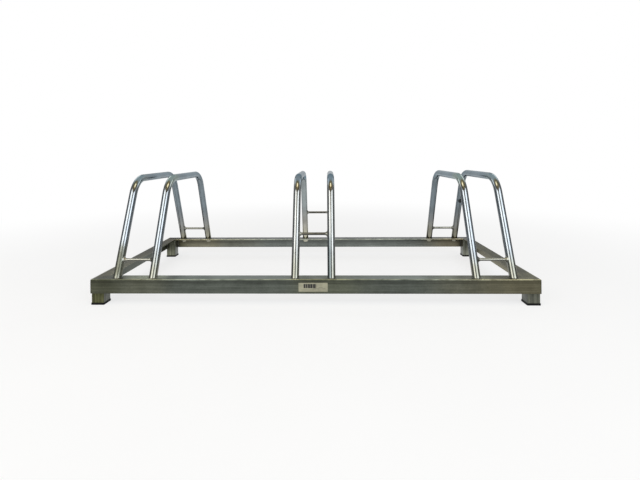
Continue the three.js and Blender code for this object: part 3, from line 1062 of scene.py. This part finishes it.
class RACK_OT_caps(RackOperator, bpy.types.Operator):
    """Make the four moulded caps that the feet stand in"""

    bl_idname = "rack.caps"
    bl_label = "Caps"

    def execute(self, context):
        material = cap_plastic(context.scene.rack_finish)
        for end, side in CORNERS:
            self.cap(context.scene.rack_sizes, f"{end}_{side}_cap", f"{end}_{side}_foot", material)
        return {"FINISHED"}

    def cap(self, sizes, name, foot, material):
        low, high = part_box(name)
        foot_low, foot_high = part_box(foot)
        half, foot_half = (high.x - low.x) / 2, (foot_high.x - foot_low.x) / 2
        fit, rim, lead, wall, floor = 0.0006, 0.0004, 0.001, 0.0025, 0.002
        outside, bore_radius = 0.0008, 0.0006
        insert = foot_half - sizes.foot_wall - fit
        need(insert > 0, "the cap has no room in its foot")
        chamfer, flange = sizes.cap_chamfer, sizes.cap_flange
        radius = sizes.foot_radius + half - foot_half
        lower = arc((half - chamfer, chamfer), chamfer, -90, 0, 5)
        straight = [(half, chamfer + rim), (half, flange - 2 * rim)]
        upper = arc((half - rim, flange - rim), rim, 0, 90, 3)
        profile = [(across, radius + across - half, up) for across, up in lower + straight + upper]
        profile += [
            (insert, outside, flange),
            (insert, outside, high.z - lead),
            (insert - lead, outside, high.z),
            (insert - wall, bore_radius, high.z),
            (insert - wall, bore_radius, floor),
        ]
        mesh = square_turned(f"{name}_moulding", name, profile, False)
        show(f"{name}_moulding", mesh, material, [name])


class RACK_OT_hoops(RackOperator, bpy.types.Operator):
    """Bend the six tube hoops from leg end to leg end"""

    bl_idname = "rack.hoops"
    bl_label = "Hoops"

    tube_sides: whole("Tube sides", "Faces round the tube", 64, 8)
    bend_steps: whole("Bend steps", "Points in each bend", 28, 4)

    def execute(self, context):
        sizes = context.scene.rack_sizes
        material = tube_steel(context.scene.rack_finish)
        tree = hoop_tree()
        lean, wall = sizes.leg_lean, sizes.tube_wall
        for name in HOOPS:
            radius, end = leg_line(name, lean)
            need(wall < radius, "the hoop's wall is thicker than its tube's radius")
            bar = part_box(name)[1].z - radius
            values = {
                "Leg end": end,
                "Corner": Vector((end.x, leg_at(end, lean, bar), bar)),
                "Bend radius": sizes.bend_radius,
                "Bend steps": self.bend_steps,
                "Tube radius": radius,
                "Tube sides": self.tube_sides,
                "Material": material,
            }
            piece = f"{name}_tube"
            skin = with_nodes(piece, bpy.data.meshes.new(name), tree, values)
            outward(skin)
            mesh = modified("skin", skin, "SOLIDIFY", thickness=wall, offset=-1.0)
            show(piece, mesh, material, [name])
        return {"FINISHED"}


class RACK_OT_rods(RackOperator, bpy.types.Operator):
    """Make the six cross rods, with their welds at both ends"""

    bl_idname = "rack.rods"
    bl_label = "Cross rods"

    def execute(self, context):
        sizes = context.scene.rack_sizes
        material = rod_steel(context.scene.rack_finish)
        for i, bay in enumerate(BAYS):
            for j, end in enumerate(ENDS):
                name = f"{bay}_{end}_rod"
                low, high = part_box(name)
                need(high.x > low.x, "a rod has no length")
                seed = 0.7 + 1.9 * i + 4.1 * j
                mesh = rod_mesh(f"{name}_bar", sizes, name, f"{bay}_right_hoop", seed)
                show(f"{name}_bar", mesh, material, [name])
        return {"FINISHED"}


class RACK_OT_welds(RackOperator, bpy.types.Operator):
    """Lay the weld beads at the legs, the feet and the corners"""

    bl_idname = "rack.welds"
    bl_label = "Welds"

    def execute(self, context):
        sizes = context.scene.rack_sizes
        material = weld_metal(context.scene.rack_finish)
        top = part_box("front_rail")[1].z
        above, below = top + 0.0001, top - sizes.rail_wall - 0.0004
        over, under = [], []
        for hoop in HOOPS:
            for side in (-1, 1):
                over.append(self.leg_ring(sizes, hoop, side, above, sizes.over_bead, 0.0002))
                under.append(self.leg_ring(sizes, hoop, side, below, sizes.under_bead, 0.0006))
        need(over and under, "there are no legs to weld")
        weld_piece("leg_base_welds", over, material, 3, 0.1, 0.9)
        weld_piece("leg_end_welds", under, material, 11)
        weld_piece("foot_welds", self.foot_runs(sizes), material, 19)
        weld_piece("corner_welds", self.corner_runs(sizes), material, 27, 0.05, 0.15)
        return {"FINISHED"}

    def leg_ring(self, sizes, hoop, side, height, bead, out, count=72):
        """Path round a leg at a height, just outside its skin."""
        lean = sizes.leg_lean
        radius, end = leg_line(hoop, lean)
        middle = side * leg_at(end, lean, height)
        points = []
        for turn in round_turns(count):
            x, y = polar(radius + out, turn)
            points.append(Vector((end.x + x, middle + y / math.cos(lean), height)))
        return points, bead, True

    def foot_runs(self, sizes):
        """Upright runs where a foot meets the rails' insides, and level runs under the rails."""
        runs = []
        wall, bead = sizes.rail_wall, sizes.seam_bead
        sunk, above_edge = 0.0004, 0.001
        rail_low, rail_high = frame_box()
        floor, roof = rail_low.z + above_edge, rail_high.z - wall
        for end, side in CORNERS:
            low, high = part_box(f"{end}_{side}_foot")
            sx, sy = HAND[side], HAND[end]
            near_x = high.x if side == "left" else low.x
            near_y = high.y if end == "front" else low.y
            face_x, face_y = sx * (rail_high.x - wall), -sy * (rail_low.y + wall)
            in_x, in_y, level_z = near_x - sx * sunk, near_y - sy * sunk, roof - sunk
            out_x, out_y = face_x - sx * sunk, face_y - sy * sunk
            runs += [
                seam((in_x, out_y, floor), (in_x, out_y, roof), bead),
                seam((out_x, in_y, floor), (out_x, in_y, roof), bead),
                seam((in_x, face_y, level_z), (in_x, near_y, level_z), bead),
                seam((face_x, in_y, level_z), (near_x, in_y, level_z), bead),
            ]
        return runs

    def corner_runs(self, sizes):
        """Flush seams along the mitres, on top and down the corner."""
        runs = []
        low, high = frame_box()
        bead, points = 0.0007, 40
        sunk, heel, toe = 1.2 * bead, sizes.rail_heel, high.y - low.y - 0.0008
        for sx in (-1, 1):
            for sy in (-1, 1):
                def at(inward, height):
                    return (sx * (high.x - inward), sy * (-low.y - inward), height)

                level_z = high.z - sunk
                runs.append(seam(at(toe, level_z), at(heel, level_z), bead, points))
                runs.append(seam(at(sunk, high.z - heel), at(sunk, low.z + bead), bead, points))
        return runs


class RACK_OT_label(RackOperator, bpy.types.Operator):
    """Make the paper label on the front rail"""

    bl_idname = "rack.label"
    bl_label = "Label"

    def execute(self, context):
        radius = context.scene.rack_sizes.label_radius
        low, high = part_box("label")
        need(high.y > low.y, "the label has no thickness")
        outline = []
        corners = ((high.x, high.z), (low.x, high.z), (low.x, low.z), (high.x, low.z))
        for quarter, (x, z) in enumerate(corners):
            core = (
                x - math.copysign(radius, x - (low.x + high.x) / 2),
                z - math.copysign(radius, z - (low.z + high.z) / 2),
            )
            outline += arc(core, radius, 90 * quarter, 90 * quarter + 90, 5)
        depths = (low.y, high.y + CLEARANCE)
        rings = [[Vector((x, depth, z)) for x, z in outline] for depth in depths]
        mesh = solid_mesh("label_sheet", *ringed(rings))
        material = label_paper(context.scene.rack_finish)
        show("label_sheet", mesh, material, ["label"])
        return {"FINISHED"}


class RACK_OT_studio(RackOperator, bpy.types.Operator):
    """Set up the pale floor, the soft lights and the camera"""

    bl_idname = "rack.studio"
    bl_label = "Studio"

    def execute(self, context):
        studio = context.scene.rack_studio
        context.scene.view_settings.view_transform = "Standard"
        self.camera(context, studio)
        need(context.scene.camera is not None, "the studio has no camera")
        self.floor(studio)
        self.card("side_card_left", 0.8 * studio.card, studio.card, -150, -28)
        self.card("side_card_right", 0.8 * studio.card, studio.card, 28, 150)
        self.card("back_card", studio.back_card_low, studio.back_card, -28, 28)
        self.world(context, studio)
        aim = (0.0, -0.1, 0.12)
        warm, cool, amber = (1.0, 0.99, 0.95), (0.93, 0.97, 1.0), (1.0, 0.83, 0.52)
        for hand, tint in ((-1, warm), (1, cool)):
            front, rear = (0.036 + hand * 1.03, -1.32, 1.0), (hand * 1.5, 1.1, 1.25)
            name = f"softbox_{hand + 1}"
            self.softbox(f"front_{name}", front, aim, (1.15, 1.0), studio.softbox, tint)
            self.softbox(f"rear_{name}", rear, aim, (0.9, 0.6), studio.rear_softbox, WHITE[:3])
        above, below = (0.0, -0.59, 1.9), (0.0, -0.2, 0.2)
        self.softbox("overhead_lamp", above, below, (0.75, 0.55), studio.lamp, amber)
        return {"FINISHED"}

    def camera(self, context, studio):
        lens = bpy.data.cameras.new("front_camera")
        lens.sensor_width = 36.0
        lens.lens = studio.focal_length
        lens.shift_x, lens.shift_y = studio.shift_x, studio.shift_y
        lens.clip_start = 0.01
        stand = loose_object("front_camera", lens)
        level_view = Matrix.Rotation(studio.camera_yaw, 4, "Z") @ Matrix.Rotation(QUARTER, 4, "X")
        turned = level_view @ Matrix.Rotation(studio.camera_roll, 4, "Z")
        stand.matrix_world = Matrix.Translation(studio.camera_place) @ turned
        context.scene.camera = stand

    def softbox(self, name, place, aim, size, brightness, tint):
        light = bpy.data.lights.new(name, "AREA")
        light.shape = "RECTANGLE"
        light.size, light.size_y = size
        light.energy = brightness * math.pi * size[0] * size[1]
        light.color = tint
        lamp = loose_object(name, light)
        lamp.location = place
        lamp.rotation_euler = (Vector(aim) - Vector(place)).to_track_quat("-Z", "Y").to_euler()
        lamp.visible_camera = False

    def staged(self, name, corners, faces, material):
        """A sheet of the studio."""
        mesh = bpy.data.meshes.new(name)
        mesh.from_pydata(corners, [], faces)
        mesh.materials.append(material)
        sheet = loose_object(name, mesh)
        return sheet

    def floor(self, studio):
        """A pale floor that turns to plain white away from the rack, but for its shadow."""
        radius, sides = 9.0, 96
        rim = [(*polar(radius, turn), 0.0) for turn in round_turns(sides)]
        graph = Paint("floor paint")
        reach = graph.add("ShaderNodeVectorMath", {0: graph.place}, operation="LENGTH")
        pale = graph.fade(reach.outputs["Value"], 0.5, 1.9, studio.floor_glow, 1.0)
        mottle = graph.swing(graph.noise(graph.place, 3.0), 0.015, 1.0)
        paint = graph.scale(tuple(studio.floor_colour), mottle)
        matt = graph.add("ShaderNodeBsdfDiffuse", {"Color": paint}).outputs[0]
        white = graph.add("ShaderNodeEmission", {"Color": WHITE, "Strength": 1.0}).outputs[0]
        inputs = {0: graph.times(pale, graph.backdrop_rays()), 1: matt, 2: white}
        material = graph.surface("ShaderNodeMixShader", inputs)
        self.staged("floor", rim, [list(range(sides))], material)

    def card(self, name, low, high, start, end):
        """A grey card bent about the rack between two bearings, seen only in the metal."""
        graph = Paint(name)
        strength = graph.fade(graph.axes(graph.place)[2], 0.36, 0.5, low, high)
        inputs = {"Color": (0.97, 0.99, 1.0, 1.0), "Strength": strength}
        radius, top, steps = 2.4, 1.45, 24
        corners = []
        for y, x in arc((0.0, 0.0), radius, start, end, steps):
            corners += [(x, y, 0.0), (x, y, top)]
        faces = [[2 * i, 2 * i + 2, 2 * i + 3, 2 * i + 1] for i in range(steps)]
        card = self.staged(name, corners, faces, graph.surface("ShaderNodeEmission", inputs))
        for rays in ("camera", "diffuse", "transmission", "volume_scatter", "shadow"):
            setattr(card, f"visible_{rays}", False)

    def world(self, context, studio):
        """White backdrop up to head height with a darker studio over it, and even light."""
        world = bpy.data.worlds.new("studio")
        world.use_nodes = True
        world.node_tree.nodes.clear()
        graph = Graph(world.node_tree)
        _, y, z = graph.axes(graph.add("ShaderNodeTexCoord").outputs["Generated"])
        bands = ((0.42, 0.56), (0.58, 0.68), (0.72, 0.8))
        high, dark, top = (graph.fade(z, *band) for band in bands)
        behind = graph.fade(y, 0.04, 0.26)
        front = graph.mix(top, graph.mix(dark, studio.gap, studio.shadow), studio.zenith)
        over = graph.mix(behind, front, studio.ceiling)
        warm = graph.blend(dark, (0.96, 0.98, 1.0, 1.0), (1.0, 0.8, 0.42, 1.0))
        tint = graph.blend(high, WHITE, graph.blend(behind, warm, (0.84, 0.95, 1.0, 1.0)))
        tone = graph.mix(high, 1.0, over)
        seen = graph.add("ShaderNodeBackground", {"Color": tint, "Strength": tone}).outputs[0]
        inputs = {"Color": (0.98, 0.99, 1.0, 1.0), "Strength": studio.ambient}
        even = graph.add("ShaderNodeBackground", inputs).outputs[0]
        inputs = {0: graph.backdrop_rays(), 1: even, 2: seen}
        mixed = graph.add("ShaderNodeMixShader", inputs).outputs[0]
        graph.add("ShaderNodeOutputWorld", {"Surface": mixed})
        context.scene.world = world


class RACK_PT_panel(bpy.types.Panel):
    """Sizes, finishes and pieces of the rack"""

    bl_label = "Bicycle floor rack"
    bl_idname = "RACK_PT_panel"
    bl_space_type = "VIEW_3D"
    bl_region_type = "UI"
    bl_category = "Rack"

    def draw(self, context):
        layout = self.layout
        scene = context.scene
        for group in (scene.rack_sizes, scene.rack_finish, scene.rack_studio):
            box = layout.box()
            for key in group.__annotations__:
                box.prop(group, key)
        for operator in OPERATORS:
            layout.operator(operator.bl_idname)


GROUPS = (RackSizes, RackFinish, RackStudio)
OPERATORS = (
    RACK_OT_studio,
    RACK_OT_rails,
    RACK_OT_feet,
    RACK_OT_caps,
    RACK_OT_hoops,
    RACK_OT_rods,
    RACK_OT_welds,
    RACK_OT_label,
)


def register():
    for kind in (*GROUPS, *OPERATORS, RACK_PT_panel):
        bpy.utils.register_class(kind)
    bpy.types.Scene.rack_sizes = PointerProperty(type=RackSizes)
    bpy.types.Scene.rack_finish = PointerProperty(type=RackFinish)
    bpy.types.Scene.rack_studio = PointerProperty(type=RackStudio)


def unregister():
    del bpy.types.Scene.rack_studio
    del bpy.types.Scene.rack_finish
    del bpy.types.Scene.rack_sizes
    for kind in (RACK_PT_panel, *reversed(OPERATORS), *reversed(GROUPS)):
        bpy.utils.unregister_class(kind)


def main():
    register()
    bpy.ops.rack.studio()
    bpy.ops.rack.rails()
    bpy.ops.rack.feet()
    bpy.ops.rack.caps()
    bpy.ops.rack.hoops()
    bpy.ops.rack.rods()
    bpy.ops.rack.welds()
    bpy.ops.rack.label()


if __name__ == "__main__":
    main()
